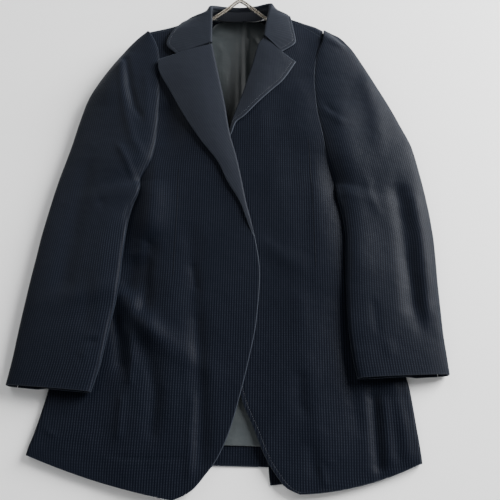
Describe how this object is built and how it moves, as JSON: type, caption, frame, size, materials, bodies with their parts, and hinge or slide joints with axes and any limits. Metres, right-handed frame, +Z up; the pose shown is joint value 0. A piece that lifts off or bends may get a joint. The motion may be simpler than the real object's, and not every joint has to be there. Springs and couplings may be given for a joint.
{
  "type": "tailored jacket on a hanger",
  "caption": "Tailored jacket with peaked lapels, a turned collar and long sleeves, laid flat on its back over a double-wire hanger.",
  "frame": {"origin": "centre of the bounding box, on the flat underside that lies on the floor", "axes": "+Y up the body from the hem to the collar and the hanger's hook, +Z up off the floor through the fronts, +X to the wearer's left"},
  "size_m": [0.5659, 0.8224, 0.062],
  "materials": {
    "back_right": "matt wool suiting, fine self stripe",
    "back_left": "matt wool suiting, fine self stripe",
    "back_lining": "soft sheen twill lining",
    "front_right": "matt wool suiting, fine self stripe",
    "front_left": "matt wool suiting, fine self stripe",
    "lapel_right": "matt wool suiting, pressed",
    "lapel_left": "matt wool suiting, pressed",
    "collar_leaf": "matt wool suiting, pressed",
    "collar_stand": "matt wool suiting, pressed",
    "upper_sleeve_right": "matt wool suiting, fine self stripe",
    "upper_sleeve_left": "matt wool suiting, fine self stripe",
    "under_sleeve_right": "matt wool suiting, fine self stripe",
    "under_sleeve_left": "matt wool suiting, fine self stripe",
    "hanger_wire_upper": "champagne plated wire",
    "hanger_wire_lower": "champagne plated wire",
    "hanger_hook": "champagne plated wire"
  },
  "bodies": {
    "root": {"back_right": "back_right", "back_left": "back_left", "back_lining": "back_lining", "front_right": "front_right", "front_left": "front_left", "lapel_right": "lapel_right", "lapel_left": "lapel_left", "collar_leaf": "collar_leaf", "collar_stand": "collar_stand", "upper_sleeve_right": "upper_sleeve_right", "upper_sleeve_left": "upper_sleeve_left", "under_sleeve_right": "under_sleeve_right", "under_sleeve_left": "under_sleeve_left", "hanger_wire_upper": "hanger_wire_upper", "hanger_wire_lower": "hanger_wire_lower", "hanger_hook": "hanger_hook"}
  },
  "joints": []
}
